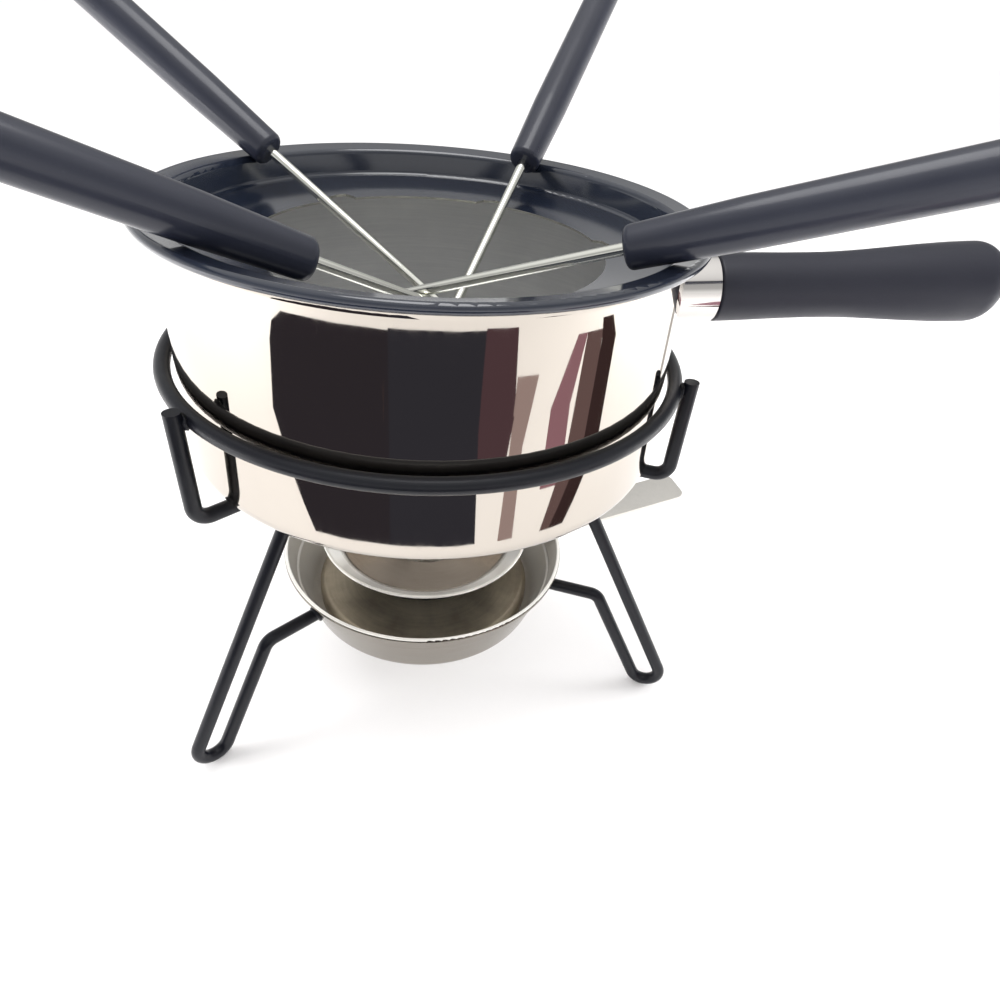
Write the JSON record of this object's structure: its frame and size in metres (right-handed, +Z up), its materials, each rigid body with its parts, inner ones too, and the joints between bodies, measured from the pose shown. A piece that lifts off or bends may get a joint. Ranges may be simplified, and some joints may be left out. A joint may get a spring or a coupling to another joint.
{
  "type": "fondue pot set",
  "caption": "Stainless fondue pot with a black handle and splash ring on a black wire stand, with a spirit burner below and long forks resting in the pot.",
  "frame": {"origin": "on the stand's vertical axis, at table level", "axes": "+Z up, +X along the pot handle"},
  "size_m": [0.3377, 0.2325, 0.2542],
  "materials": {
    "mirror_steel": "mirror polished stainless steel",
    "brushed_steel": "brushed stainless steel",
    "fork_steel": "polished stainless wire",
    "plated_steel": "zinc plated",
    "brass_insert": "machined",
    "black_enamel": "gloss black enamel",
    "black_wire": "satin black coating",
    "black_grip": "satin black moulded plastic",
    "black_fork_handle": "satin black moulded plastic",
    "gauze_wire": "woven wire gauze",
    "wool": "mineral wool wad"
  },
  "bodies": {
    "stand": {"stand_ring": "black_wire", "stand_leg_1": "black_wire", "stand_leg_2": "black_wire", "stand_leg_3": "black_wire", "burner_bowl": "mirror_steel"},
    "pot": {"pot_shell": "mirror_steel", "pot_base_disc": "brushed_steel", "pot_handle_bracket": "brushed_steel", "pot_handle_ferrule": "mirror_steel", "pot_handle_stud": "plated_steel", "pot_handle_insert": "brass_insert", "pot_handle_grip": "black_grip"},
    "ring": {"fork_ring": "black_enamel"},
    "burner": {"burner_base": "brushed_steel", "burner_cup": "brushed_steel", "burner_wool": "wool", "burner_gauze": "gauze_wire", "burner_handle": "brushed_steel", "burner_rivets": "plated_steel"},
    "cover": {"burner_cover": "mirror_steel"},
    "fork_1": {"fork_1_handle": "black_fork_handle", "fork_1_shaft": "fork_steel"},
    "fork_2": {"fork_2_handle": "black_fork_handle", "fork_2_shaft": "fork_steel"},
    "fork_3": {"fork_3_handle": "black_fork_handle", "fork_3_shaft": "fork_steel"},
    "fork_4": {"fork_4_handle": "black_fork_handle", "fork_4_shaft": "fork_steel"}
  },
  "joints": [
    {"name": "pot_lift", "type": "slide", "parent": "stand", "child": "pot", "axis": [0, 0, 1], "range_m": [0, 0.12]},
    {"name": "ring_lift", "type": "slide", "parent": "pot", "child": "ring", "axis": [0, 0, 1], "range_m": [0, 0.08]},
    {"name": "burner_lift", "type": "slide", "parent": "stand", "child": "burner", "axis": [0, 0, 1], "range_m": [0, 0.028]},
    {"name": "cover_lift", "type": "slide", "parent": "burner", "child": "cover", "axis": [0, 0, 1], "range_m": [0, 0.012]},
    {"name": "fork_1_pull", "type": "slide", "parent": "ring", "child": "fork_1", "axis": [-0.7719, 0.3421, 0.5358], "range_m": [0, 0.11]},
    {"name": "fork_2_pull", "type": "slide", "parent": "ring", "child": "fork_2", "axis": [0.3712, 0.7478, 0.5505], "range_m": [0, 0.11]},
    {"name": "fork_3_pull", "type": "slide", "parent": "ring", "child": "fork_3", "axis": [-0.8159, -0.3979, 0.4195], "range_m": [0, 0.11]},
    {"name": "fork_4_pull", "type": "slide", "parent": "ring", "child": "fork_4", "axis": [0.8802, -0.3204, 0.3502], "range_m": [0, 0.11]}
  ]
}
